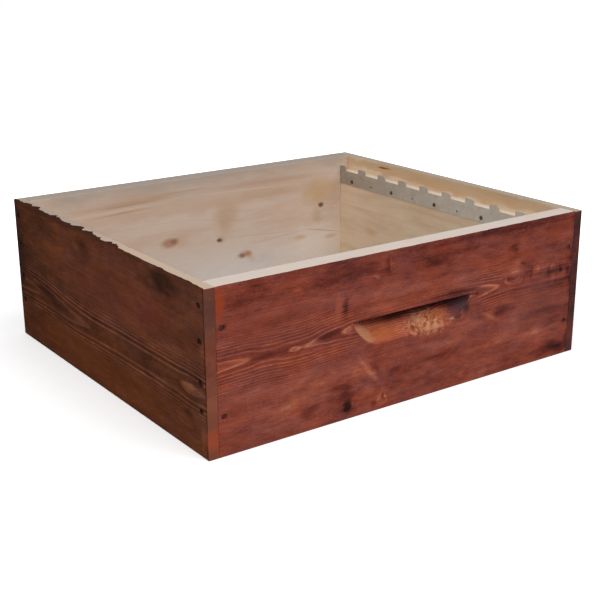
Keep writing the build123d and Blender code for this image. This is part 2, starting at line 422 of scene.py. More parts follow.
def away_from_spot(tree, place, middle, size, lean=0):
    """How far a point is from a spot's middle, where 1 is its edge. lean is in degrees."""
    centred = add_node(tree, "VectorMath", [place, (*middle, 0)], operation="SUBTRACT")
    if lean:
        turn = Matrix.Rotation(math.radians(-lean), 3, "Z")
        turned = [add_node(tree, "VectorMath", [centred, turn[row]],
                           operation="DOT_PRODUCT").outputs["Value"] for row in range(2)]
        centred = add_node(tree, "CombineXYZ", [turned[0], turned[1]])
    local = add_node(tree, "VectorMath", [centred, (1 / size[0], 1 / size[1], 0)], operation="MULTIPLY")
    return add_node(tree, "VectorMath", [local], operation="LENGTH").outputs["Value"]


def spot(tree, ragged, along, up, half_length, half_height, amount, lean=0, soft=0):
    """amount in the heart of an oval and 0 past its edge. soft is where, on the way out, it starts to fade.

    ragged holds the place with a fine wobble and with a loose one, which broad ovals take.
    """
    size = (half_length, half_height)
    away = away_from_spot(tree, ragged[min(size) > BROAD], (along, up), size, lean)
    return add_node(tree, "MapRange", {"Value": away, "From Min": soft, "From Max": 1.0, "To Min": amount,
                                       "To Max": 0.0}, interpolation_type="SMOOTHSTEP")


print("spots over", BROAD, "mm to each side have the loosest edges")

# %% [markdown]
# ## Spruce as a solid
# Grain is not a picture on the surface: a board is cut from a trunk, and its lines are where the cut meets
# the yearly rings, cylinders about the pith. So each board gets its own pith line, which runs a little
# behind the face and wanders along the board. Where the pith comes nearer, the rings close into the pointed
# flames of flat-sawn wood, and a hand hold cut into the board shows the same rings deeper down. A branch
# pushes the rings outward round itself, which is what draws lines round a knot. Every year was different,
# so each ring has its own strength.

# %% The rings of a board
BULGE_REACH = 3.0
# Runs of wide or narrow years: how many millimetres they take, and how many rings they shift the lines.
SEASONS, SEASON_SWING = 9.0, 3.0
YEAR_WEAK, YEAR_STRONG, RARITY = 0.3, 1.1, 4.0
# Streaks are given as length and width in millimetres, then the detail and roughness of their noise.
FADE_STREAKS, FADE_FROM, FADE_TO, FADED = (45.0, 9.0, 3.0, 0.6), 0.35, 0.6, 0.5


def from_pith(tree, moved, ragged, board):
    """Millimetres along the board, above its pith, and out from the pith as the rings count them."""
    along, up, into = add_node(tree, "SeparateXYZ", [moved]).outputs
    pith_up = along_curve(tree, along, board, board["pith_height"])
    pith_in = along_curve(tree, along, board, board["pith_depth"])
    rise = add_node(tree, "Math", [up, pith_up], operation="SUBTRACT")
    depth = add_node(tree, "Math", [into, pith_in], operation="SUBTRACT")
    offset = add_node(tree, "CombineXYZ", [rise, depth])
    radius = add_node(tree, "VectorMath", [offset], operation="LENGTH").outputs["Value"]
    for *branch, push in board["bulges"]:
        away = away_from_spot(tree, ragged[0], branch[:2], branch[2:])
        bulge = add_node(tree, "MapRange", {"Value": away, "From Min": 0.0, "From Max": BULGE_REACH,
                                            "To Min": push, "To Max": 0.0},
                         interpolation_type="SMOOTHERSTEP")
        radius = add_node(tree, "Math", [radius, bulge], operation="SUBTRACT")
    return along, rise, radius


def spruce_rings(tree, moved, ragged, board):
    """Where a point lies in its ring, from 0 to 1, how clearly that shows, and 1 for a rare dark year."""
    along, rise, radius = from_pith(tree, moved, ragged, board)
    flame = {"From Min": board["flame"][0], "From Max": board["flame"][1]}
    years = add_node(tree, "Math", [radius, 1 / board["ring"], board["first_ring"]],
                     operation="MULTIPLY_ADD")
    aside = add_node(tree, "Math", [rise], operation="ABSOLUTE")
    seasons = add_node(tree, "TexNoise", {"W": radius, "Scale": 1 / SEASONS}, noise_dimensions="1D")
    early = add_node(tree, "Math", [seasons, 0.5], operation="SUBTRACT")
    swing = add_node(tree, "MapRange", {"Value": aside, **flame, "To Max": SEASON_SWING})
    years = add_node(tree, "Math", [early, swing, years], operation="MULTIPLY_ADD")
    share = add_node(tree, "Math", [years], operation="FRACT")
    year = add_node(tree, "Math", [years], operation="FLOOR")
    chance = add_node(tree, "TexWhiteNoise", {"W": year}, noise_dimensions="1D").outputs["Value"]
    vigour = add_node(tree, "MapRange", {"Value": chance, "To Min": YEAR_WEAK, "To Max": YEAR_STRONG})
    bold = add_node(tree, "MapRange", {"Value": aside, **flame, "To Min": 1.0, "To Max": board["plain"]})
    patchy = streaks(tree, moved, board, *FADE_STREAKS)
    faded = add_node(tree, "MapRange", {"Value": patchy, "From Min": FADE_FROM, "From Max": FADE_TO,
                                        "To Min": FADED, "To Max": 1.0})
    clear = add_node(tree, "Math", [vigour, bold], operation="MULTIPLY")
    for part in (along_curve(tree, along, board, board["clarity"]), faded):
        clear = add_node(tree, "Math", [clear, part], operation="MULTIPLY")
    return share, clear, add_node(tree, "Math", [chance, RARITY], operation="POWER")


print("weakest and strongest year", YEAR_WEAK, YEAR_STRONG)

# %% [markdown]
# ## Bare spruce
# Inside and on the rims the boards were planed and left bare: pale, slightly pink earlywood with soft tan
# latewood lines, knots in red-brown, and places where resin or light turned the wood yellow or grey. Each
# of these is a layer with its own colour, and how much of it shows is worked out from the rings, from
# streaks or from a spot. Level faces, the rims and the ledges that carry the frames, have layers of their
# own: painted shade greys the rims of the back and side boards, and painted light makes the ledges pale.

# %% Bare wood colour
LATEWOOD_STOPS = [(0.0, "#404040"), (0.96, "#ffffff"), (0.10, "#000000"), (0.50, "#1c1c1c"),
                  (0.80, "#a0a0a0")]
FAINT_YEAR = 0.15
TINT_STREAKS = (140.0, 30.0)
WARM_STREAKS, WARM_FROM, WARM_TO, WARM_SPRUCE = (90.0, 16.0, 4.0, 0.6), 0.45, 0.7, "#d0a684"
# Spots lower than this many millimetres to each side are grain lines, which sway with the grain.
FINE_LINE = 2.0
# How far in millimetres a point may lie from a level face and count as on it.
FACE_HAIR = 0.45
# The middle and half length of a stretch that covers any board, and where a shorter one starts to fade.
ALL_ALONG, FLAT_SOFT = (0, 2000), 0.2
FIBRE_FROM, FIBRE_TO, FIBRE_DARK, FIBRE_PALE = 0.25, 0.75, 0.95, 1.04


def lay_over(tree, colour, layers):
    """Lays layers over a colour. A layer is how much of it shows, and its colour.

    They come one at a time, each worked out just before it is laid, so that few values wait at once.
    """
    for shown, tinge in layers:
        colour = add_node(tree, "Mix", {"Factor": shown, "A": colour, "B": linear(tinge)}, data_type="RGBA")
    return colour


def at_height(tree, place, height):
    """1 on the level faces of a board at that height."""
    up = add_node(tree, "SeparateXYZ", [place]).outputs["Y"]
    return add_node(tree, "Math", [up, height, FACE_HAIR], operation="COMPARE")


def bare_layers(tree, place, moved, ragged, board, share, rare):
    """Over pale earlywood: latewood, warm streaks, knots, stains, painted shade on rims, painted light on
    ledges.
    """
    latewood = add_node(tree, "ValToRGB", {"Fac": share}, stops=LATEWOOD_STOPS)
    strength = add_node(tree, "MapRange",
                        {"Value": rare, "To Min": FAINT_YEAR * board["lines"], "To Max": board["lines"]})
    yield add_node(tree, "Math", [latewood, strength], operation="MULTIPLY"), board["latewood"]
    patch = streaks(tree, moved, board, *WARM_STREAKS)
    yield add_node(tree, "MapRange", {"Value": patch, "From Min": WARM_FROM, "From Max": WARM_TO,
                                      "To Max": board["warm"]}), WARM_SPRUCE
    for tinge, *where in board["tints"]:
        yield spot(tree, [moved] if where[3] < FINE_LINE else ragged, *where), tinge
    for tinge, height, amount, *stretch in board["flats"]:
        middle, reach = stretch or ALL_ALONG
        shown = spot(tree, ragged, middle, height, reach, reach, amount, 0, FLAT_SOFT)
        yield add_node(tree, "Math", [at_height(tree, place, height), shown], operation="MULTIPLY"), tinge


def bare_spruce(tree, place, moved, ragged, board, share, rare, fibre):
    """Planed spruce: pale earlywood, what lies over it, and fine fibres."""
    tint = streaks(tree, moved, board, *TINT_STREAKS)
    pale, paler = [linear(colour) for colour in board["earlywood"]]
    ground = add_node(tree, "Mix", {"Factor": tint, "A": pale, "B": paler}, data_type="RGBA")
    colour = lay_over(tree, ground, bare_layers(tree, place, moved, ragged, board, share, rare))
    shade = add_node(tree, "MapRange", {"Value": fibre, "From Min": FIBRE_FROM, "From Max": FIBRE_TO,
                                        "To Min": FIBRE_DARK, "To Max": FIBRE_PALE})
    return add_node(tree, "VectorMath", {0: colour, "Scale": shade}, operation="SCALE")


print("warm streaks in mm", WARM_STREAKS[:2])

# %% [markdown]
# ## Red-brown glaze
# Outside, a thin red-brown glaze was brushed on. Soft earlywood drinks it and goes dark, while hard
# latewood takes little, so the grain turns round: the lines show lighter and more orange than the ground.
# The coat is uneven, with laps of the brush, dark pools and thin orange places. It is thin in the hand
# holds, pools round sunk nails and at the corners, and goes darker or paler on end grain. Some pools are
# painted shade: under the top edge and at one end of a hold, and along the foot and the far end of the left
# board. Painting all this as colour would lose the link with the grain. So the amount of glaze is summed up
# first, as one number, and ramps then turn it into colour.

# %% How much glaze the wood took
LINE_STOPS = [(0.0, "#e6e6e6"), (1.0, "#e6e6e6"), (0.07, "#000000"), (0.52, "#000000"), (0.76, "#bcbcbc"),
              (0.92, "#ffffff")]
LINE_MEAN = 0.3
# Laps of the brush: length and width in millimetres, detail of the noise, and how much glaze they bring.
LAPS = ((60.0, 20.0, 5.0, 0.85), (18.0, 9.0, 4.0, 0.5), (200.0, 5.0, 3.0, 0.3), (9.0, 1.4, 3.0, 0.3),
        (3.0, 2.0, 2.0, 0.3))
LAP_ROUGHNESS = 0.65
NAIL_POOL = (5.0, 3.8, 0.3, 0, 0.4)
# Millimetres in from the outer face where a hand hold starts and is full.
HOLD_FROM, HOLD_FULL = 0.1, 1.0
# Millimetres from a board's end that count as its sawn end, and where its dark corner starts and is full.
END_HAIR, CORNER_FROM, CORNER_FULL = 0.7, 2.6, 0.8
RUN_DARK = 0.3


def from_middle(tree, place):
    """Millimetres from the middle of a board, along it."""
    along = add_node(tree, "SeparateXYZ", [place]).outputs["X"]
    return add_node(tree, "Math", [along], operation="ABSOLUTE")


def other_cut(tree, place, board):
    """1 off the outer face: inside the hand hold of an end board, or on the sawn ends of a side board."""
    if board["hold"]:
        into = add_node(tree, "SeparateXYZ", [place]).outputs["Z"]
        return add_node(tree, "MapRange", {"Value": into, "From Min": HOLD_FROM, "From Max": HOLD_FULL})
    return add_node(tree, "Math", [from_middle(tree, place), board["length"] / 2 - END_HAIR],
                    operation="GREATER_THAN")


def uneven_coat(tree, moved, ragged, board):
    """How much glaze the laps of the brush and the pools bring or take; some pools are painted shade."""
    uneven = 0.0
    for length, width, detail, amount in LAPS:
        laps = streaks(tree, moved, board, length, width, detail, LAP_ROUGHNESS)
        centred = add_node(tree, "Math", [laps, 0.5], operation="SUBTRACT")
        uneven = add_node(tree, "Math", [centred, amount, uneven], operation="MULTIPLY_ADD")
    for pool in board["pools"] + [(*nail, *NAIL_POOL) for nail in board["nails"]]:
        uneven = add_node(tree, "Math", [spot(tree, ragged, *pool), uneven], operation="ADD")
    return uneven


def glaze_taken(tree, place, moved, ragged, board, share, clear):
    """How much glaze the wood took, as a number, and how the grain shows in it."""
    lines = add_node(tree, "ValToRGB", {"Fac": share}, stops=LINE_STOPS)
    centred = add_node(tree, "Math", [lines, LINE_MEAN], operation="SUBTRACT")
    shown = add_node(tree, "Math", [centred, clear], operation="MULTIPLY")
    cut = other_cut(tree, place, board)
    stress = add_node(tree, "MapRange", {"Value": cut, "To Min": 1.0, "To Max": board["cut_lines"]})
    shown = add_node(tree, "Math", [shown, stress], operation="MULTIPLY")
    taken = add_node(tree, "Math", [shown, -board["grain"], board["glaze"]], operation="MULTIPLY_ADD")
    uneven = uneven_coat(tree, moved, ragged, board)
    taken = add_node(tree, "Math", [uneven, taken], operation="ADD")
    rim = at_height(tree, place, BOARD_HEIGHT)
    taken = add_node(tree, "Math", [rim, RUN_DARK, taken], operation="MULTIPLY_ADD")
    if board["hold"]:
        thinner = board["cut_glaze"]
        # Spots in the hold add glaze; most of them are painted shade under its top edge and at one end.
        for pool in board["hold_glaze_and_shade"]:
            more = spot(tree, ragged[:1] * 2, *pool)
            thinner = add_node(tree, "Math", [more, thinner], operation="ADD")
        return add_node(tree, "Math", [thinner, cut, taken], operation="MULTIPLY_ADD"), shown
    half = board["length"] / 2
    corner = add_node(tree, "MapRange", {"Value": from_middle(tree, place), "To Max": 1.0,
                                         "From Min": half - CORNER_FROM, "From Max": half - CORNER_FULL})
    soaked = add_node(tree, "Mix", {"Factor": cut, "A": corner, "B": board["cut_glaze"]})
    return add_node(tree, "Math", [taken, soaked], operation="ADD"), shown


print("laps of the brush in mm", [lap[:2] for lap in LAPS])

# %% [markdown]
# The same amount of glaze looks purplish in some places and orange in others, and thin glaze is mostly
# orange. So each coat has two ramps, and streaks choose between them. A few casts then lean to a hue of
# their own. Where the glaze ends follows from the shape: the outer face, the holds and the sawn ends have
# it, and the rims are bare apart from runs, whose reach is a few points along the board that streaks make
# ragged.

# %% Colour of the glaze
HUE_STREAKS, HUE_FROM, HUE_TO = (55.0, 24.0, 4.0, 0.6), 0.36, 0.64
THIN_IS_WARM = 0.8
RUN_STREAKS, RUN_FROM, RUN_TO = (15.0, 40.0, 4.0, 0.62), 0.35, 0.65
RUN_SHORT, RUN_LONG, RUN_LEAST = 0.3, 1.5, 0.25


def glaze_layers(tree, place, ragged, board):
    """Hues that lie over the glaze: painted shade on runs over the rim, end grain, and casts."""
    if board["shaded_run_hue"]:
        amount, hue = board["shaded_run_hue"]
        rim = at_height(tree, place, BOARD_HEIGHT)
        yield add_node(tree, "Math", [rim, amount], operation="MULTIPLY"), hue
    if not board["hold"]:
        amount, hue = board["end_hue"]
        end = other_cut(tree, place, board)
        yield add_node(tree, "Math", [end, amount], operation="MULTIPLY"), hue
    for hue, *where in board["casts"]:
        yield spot(tree, ragged, *where), hue


def glazed_spruce(tree, place, ragged, board, taken):
    """The colour of the glazed wood, with places where it leans to another hue."""
    cool, warm = [add_node(tree, "ValToRGB", {"Fac": taken}, stops=stops) for stops in board["coat"]]
    patch = streaks(tree, ragged[1], board, *HUE_STREAKS)
    hue = add_node(tree, "MapRange", {"Value": patch, "From Min": HUE_FROM, "From Max": HUE_TO,
                                      "To Min": THIN_IS_WARM / 2, "To Max": 1 + THIN_IS_WARM / 2})
    leaning = add_node(tree, "Math", [taken, -THIN_IS_WARM, hue], operation="MULTIPLY_ADD", use_clamp=True)
    colour = add_node(tree, "Mix", {"Factor": leaning, "A": cool, "B": warm}, data_type="RGBA")
    return lay_over(tree, colour, glaze_layers(tree, place, ragged, board))


def glaze_mask(tree, place, board):
    """1 where the glaze is: the outer face, what is cut into it, and ragged runs over the rims."""
    along, up, into = add_node(tree, "SeparateXYZ", [place]).outputs
    outside = add_node(tree, "Math", [into, board["glaze_depth"]], operation="LESS_THAN")
    if not board["hold"]:
        outside = add_node(tree, "Math", [outside, other_cut(tree, place, board)], operation="MAXIMUM")
    comb = streaks(tree, place, board, *RUN_STREAKS)
    reach = along_curve(tree, along, board, board["run_over"])
    spread = add_node(tree, "MapRange", {"Value": comb, "From Min": RUN_FROM, "From Max": RUN_TO,
                                         "To Min": RUN_SHORT, "To Max": RUN_LONG})
    run = add_node(tree, "Math", [reach, spread, RUN_LEAST], operation="MULTIPLY_ADD")
    over = add_node(tree, "Math", [into, run], operation="LESS_THAN")
    lower, upper = at_height(tree, place, 0.0), at_height(tree, place, BOARD_HEIGHT)
    rim = add_node(tree, "Math", [lower, upper], operation="MAXIMUM")
    return add_node(tree, "Mix", {"Factor": rim, "A": outside, "B": over})


print("patches of hue in mm", HUE_STREAKS[:2])

# %% [markdown]
# The torn knot shows raw wood: flakes that stand up are pale, and glaze has run into the pits between them.
# The same oval that moved the points of the mesh gives the place, and finer noise splits it into flakes and
# pits. Other casts show only inside the hold: hues where the cutter went through earlywood and latewood at
# a slant, painted light on its left end, and painted shade under its top edge and on its right end.

# %% Torn wood in the front hand hold
FLAKE, RAW, PIT = "#dc9f79", "#b76f4d", "#6d3424"
TORN_STOPS = [(0.35, PIT), (0.64, FLAKE), (0.46, RAW)]
KNOT_STREAKS, KNOT_RAG, KNOT_FROM, KNOT_TO, KNOT_SHOWN = (6.0, 4.0, 3.0, 0.7), 1.1, 1.05, 1.6, 0.85
GRIT_STREAKS = (5.0, 5.5, 4.0, 0.65)


def torn_knot(tree, place, ragged, board, colour):
    """Adds the torn knot of the front hand hold to a colour."""
    edge = streaks(tree, place, board, *KNOT_STREAKS)
    away = away_from_spot(tree, place, TORN_MIDDLE, TORN_SIZE)
    reach = add_node(tree, "Math", [edge, KNOT_RAG, away], operation="MULTIPLY_ADD")
    torn = add_node(tree, "MapRange", {"Value": reach, "From Min": KNOT_FROM, "From Max": KNOT_TO,
                                       "To Min": KNOT_SHOWN, "To Max": 0.0})
    grit = streaks(tree, ragged[0], board, *GRIT_STREAKS)
    split = add_node(tree, "ValToRGB", {"Fac": grit}, stops=TORN_STOPS)
    return add_node(tree, "Mix", {"Factor": torn, "A": colour, "B": split}, data_type="RGBA")


def hold_layers(tree, place, ragged, board):
    """Casts that show only inside a hand hold: hues of the cut grain, painted light and painted shade."""
    hold = other_cut(tree, place, board)
    for hue, *where in board["hold_hues_light_and_shade"]:
        shown = spot(tree, ragged[:1] * 2, *where)
        yield add_node(tree, "Math", [shown, hold], operation="MULTIPLY"), hue


print("flakes of torn wood in mm", GRIT_STREAKS[:2])

# %% [markdown]
# ## The four boards
# Each board is its own cut of wood, so each gets its own pith, knots, glaze and seed. The pith's height and
# depth are a few points along the board, chosen so that the flames point where they do on the real box.
# Every place is in millimetres along the board and up it.
# - A pool is a spot: its place, half its length and height, how much glaze it adds, and then, where they
#   aren't 0, its lean in degrees and where it starts to fade. A tint of bare wood or a cast of glaze has a
#   colour before these.
# - A bulge is the place and half size of a branch, and how far it pushed the rings out.
# - A flat is the colour, height and strength of a level face, and its middle and half length if it isn't
#   all of it. On a rim it is painted shade, on a ledge painted light.
# - run_over is how far glaze ran over the rim, glaze_depth how far in from the outer face a cut is glazed.
#   cut_glaze and cut_lines are the glaze and the strength of the lines in the hand hold, or on the ends of
#   a side board.

# %% What the boards share
# Each coat: its purplish places, then its orange ones, from hardly any glaze to a great deal.
RED_COAT = ([(0.0, "#ce8d78"), (1.0, "#3f2222"), (0.25, "#af675a"), (0.5, "#955147"), (0.75, "#733934")],
            [(0.0, "#d78d6a"), (1.0, "#4d241c"), (0.25, "#ba634b"), (0.5, "#a14f3b"), (0.75, "#823b2c")])
# The left board's coat is the same glaze with painted shade: browner and darker, as on a side away from the
# light.
SHADED_BROWN_COAT = ([(0.0, "#9a6d5e"), (1.0, "#3b231b"), (0.25, "#7d5144"), (0.5, "#6c4032"), (0.75, "#563427")],
              [(0.0, "#a66d54"), (1.0, "#42271a"), (0.25, "#8e573e"), (0.5, "#79462d"), (0.75, "#5f3723")])
EVEN = [(-250, 1.0), (250, 1.0)]
COMMON = {"clarity": EVEN, "bulges": [], "casts": [], "tints": [], "flats": [], "shaded_run_hue": None}
LEDGE_DEPTH = 20.0
LEDGE_HEIGHT = BOARD_HEIGHT - LEDGE_DEPTH
# Below every second notch the strip has a small spare nail hole, with dark wood behind it.
NOTCH_PITCH, SPARE_HEIGHT, SPARE_HOLE = 42.7, 137.5, (3.2, 1.9, 0.9, 0, 0.6)
HOLE_TINTS = [("#5c4c3e", notch * NOTCH_PITCH, SPARE_HEIGHT, *SPARE_HOLE) for notch in (-3, -1, 1, 3)]
SIDE_NAIL_POOL = (5.5, 4.0, 0.35, 0, 0.3)
LOOKS = {}
print("ledge", LEDGE_HEIGHT, "mm up, spare holes", len(HOLE_TINTS))

# %% [markdown]
# ### Front board
# This is the face that shows best. Its pith lies close behind the face, so that flames open and close left
# of the hand hold. Branches left two knots below the hold and one to its right, with wild grain beside it.
# The glaze went on in uneven laps and is thinner low down on the left.

# %% Front board
LOOKS["front_board"] = {
    "seed": 3.0, "ring": 2.2, "first_ring": 0.4545, "flame": (14.0, 40.0), "plain": 0.22, "coat": RED_COAT,
    "glaze": 0.5, "grain": 0.6, "glaze_depth": 16.0, "cut_glaze": -0.14, "cut_lines": 2.2,
    "earlywood": ("#d0c3ba", "#d6c8be"), "latewood": "#b48f6c", "lines": 0.25, "warm": 0.12,
    "clarity": [
        (-250, 1.0), (-95, 1.0), (-60, 0.4), (85, 0.4), (105, 1.0), (124, 0.9), (140, 0.55), (165, 0.4),
        (250, 0.35),
    ],
    "pith_height": [
        (-250, 91), (-200, 92), (-150, 91), (-120, 94), (-88, 96), (0, 99), (82, 102), (124, 103),
        (160, 100), (250, 98),
    ],
    "pith_depth": [
        (-250, 13.3), (-203, 14.4), (-180, 15.5), (-160, 14.6), (-141, 14.4), (-110, 12.9), (-93, 12.2),
        (-80, 11.4), (0, 10.4), (70, 11.4), (100, 13.3), (123, 14.4), (170, 16.05), (250, 16.3),
    ],
    "bulges": [
        (-151, 91, 3.5, 1.6, 0.62), (148, 117, 9.0, 7.5, 9.0), (-40, 12, 6.0, 5.0, 9.0),
        (20, 80, 14.0, 8.0, 5.0),
    ],
    "pools": [
        # Darker along the top and at the right end.
        (0, 165, 300, 40, 0.14, 0, 0.3), (215, 95, 80, 120, 0.07, 0, 0.2),
        # Pale eyes in the flames left of the hold, with dark between them.
        (-184, 91, 22, 5, 0.17, 2, 0.2), (-112, 96, 22, 5, 0.24, 8, 0.2), (-151, 91, 9.5, 4, -0.22, 0, 0.3),
        (-87, 97, 9.5, 4, -0.26, 10, 0.3),
        # Dark laps of the brush, and thin places between them.
        (-200, 152, 60, 13, 0.2), (-160, 124, 55, 9, 0.15), (-113, 152, 22, 10, 0.12),
        (-35, 155, 8, 13, 0.3), (25, 151, 44, 12, 0.24), (-45, 111, 45, 8, -0.2), (40, 124, 95, 9, -0.2),
        (56, 107, 48, 8, 0.34, 0, 0.2), (142, 140, 14, 14, 0.32), (35, 41, 70, 10, 0.24),
        (193, 60, 50, 9, 0.24), (132, 73, 24, 13, 0.36), (215, 11, 44, 14, 0.36),
        (150, 166, 130, 7, 0.18, 0, 0.4), (75, 64, 48, 9, -0.22), (40, 54, 40, 6, -0.15),
        (115, 38, 55, 10, -0.2), (178, 38, 36, 12, -0.3), (64, 72, 22, 4, -0.18), (222, 88, 27, 17, 0.34),
        (-110, 52, 60, 10, -0.2), (-222, 36, 17, 14, 0.15),
        # Two knots near the lower edge, and grain that leans round them.
        (-60, 27, 22, 11, -0.24), (-18, 22, 28, 10, 0.2), (-88, 9, 22, 9, 0.24), (-22, 40, 18, 9, 0.2),
        (-86, 15, 8, 9.5, 0.45, 0, 0.1), (-92, 22, 26, 22, 0.26), (-135, 20, 18, 14, 0.26),
        (-57, 45, 38, 5.5, -0.22, -51, 0.1), (-88, 37, 15, 15, 0.2), (-49, 47, 15, 6, 0.2, -50),
        (-45, 14, 3, 9, -0.25, -20, 0.1), (-36, 12, 2.6, 9, -0.25, 15, 0.1), (-40, 6, 8, 2.6, -0.2, 0, 0.1),
        (-40, 14, 2.6, 5, 0.3, 0, 0.1), (-52, 8, 6, 7, 0.28),
        # Thinner low down on the left.
        (-150, 40, 130, 60, -0.09),
        # Small smears.
        (-98, 122, 6, 22, -0.26), (-89, 121, 5, 19, 0.28), (-229, 130, 5, 1.6, 0.5, 15, 0.2),
        (-32, 156, 2.2, 9, -0.2, 0, 0.2), (-50, 145, 8, 3, -0.34, -25), (-147, 150, 8, 3.5, -0.24),
        (112, 70, 22, 4, -0.28, -28, 0.1), (212, 149, 30, 15, -0.08),
        # The knot right of the hold, and the dark places beside it.
        (150, 118, 13, 11, -0.26), (140, 108, 11, 4, 0.26, -20), (158, 124, 9, 4, 0.2, -35),
        (167, 112, 10, 14, 0.26), (176, 101, 20, 8, 0.12), (199, 105, 15, 13, 0.26), (209, 97, 9, 5, -0.24),
        (222, 106, 20, 9, 0.24), (234, 103, 9, 16, 0.2), (244, 85, 14, 160, 0.3), (184, 113, 11, 6, -0.3),
        # A crack at the right end of the hold, and a smear far below it.
        (90, 101, 4, 2.2, 0.4, 0, 0.1), (70, 12, 9, 5, -0.2),
        # Short strokes of wild grain by the knot right of the hold.
        (173, 108, 4, 9, 0.26, -25), (187, 113, 3, 7, 0.22, 20), (201, 107, 4, 9, 0.22, 12),
        (212, 98, 4, 8, 0.22, -18), (220, 106, 4, 9, 0.22, 15), (232, 99, 4, 9, 0.22, -10),
        (206, 112, 3, 6, -0.24, -20), (226, 104, 2.6, 7, -0.22),
    ],
    "hold_glaze_and_shade": [
        # Painted shade under the top edge, where glaze also pooled, and on the right end; thinner glaze on
        # the left end.
        (69, 86, 25, 22, 0.5), (8, 98, 96, 10, 0.5, 0, 0.15), (58, 98, 56, 9, 0.4),
        (-66, 87, 24, 9, -0.3, -41, 0.2), (-25, 93, 32, 5, 0.25),
    ],
    "hold_hues_light_and_shade": [
        # The left end is pale from thin glaze and painted light; painted shade darkens the right end and
        # the top edge.
        ("#b98462", -66, 87, 24, 10, 0.55, -41, 0.3), ("#b8835f", -60, 85, 15, 6, 0.6, -52, 0.5),
        ("#57444a", 69, 86, 24, 20, 0.6), ("#b5602c", 37, 87, 20, 7, 0.55),
        ("#b4622f", -38, 83, 34, 13, 0.45, 0, 0.1), ("#5a3020", -20, 98, 80, 8, 0.35, 0, 0.2),
        ("#bd866a", 10, 87, 9, 7, 0.5, 0, 0.2), ("#7a4530", 4.5, 79.4, 8, 1.5, 0.7, -18, 0.3),
        ("#7a4530", 10.4, 76.3, 2, 4, 0.6, -20, 0.3), ("#cf8f6c", 26, 75, 20, 3.5, 0.45, 0, 0.3),
    ],
    "casts": [
        # Orange and cool places on the face.
        ("#b04c2b", -234, 152, 8.5, 24, 0.75, 0, 0.2), ("#a54c2e", -98, 124, 6, 20, 0.5, 4, 0.1),
        ("#b0583a", -222, 122, 9, 5, 0.5, -15), ("#8f5450", 194, 106, 9, 8, 0.4),
        ("#8c402c", -190, 118, 90, 50, 0.3), ("#8a3b24", 212, 150, 30, 16, 0.35),
        ("#94605a", 185, 70, 85, 75, 0.22),
        # The splinter, and painted shade on the right end of the hold.
        ("#cfa896", 55.5, 79.5, 3.8, 2.0, 0.7, 0, 0.3), ("#3c2620", 64, 80, 7.0, 2.6, 0.7, 25, 0.1),
        ("#4a3433", 74, 89, 8, 9, 0.85, 0, 0.2), ("#2c1a17", 85, 101.6, 8, 2.0, 0.7, 0, 0.2),
        ("#a58a80", 81, 100, 1.8, 1.6, 0.6, 0, 0.2),
        # A fleck in the left one of the two knots.
        ("#8a6a4a", -80, 15, 2.6, 3.2, 0.5, 0, 0.2),
    ],
    "run_over": [(-250, 0.2), (0, 0.2), (180, 0.6), (250, 1.6)],
}
print("front board", len(LOOKS["front_board"]["pools"]), "pools of glaze")
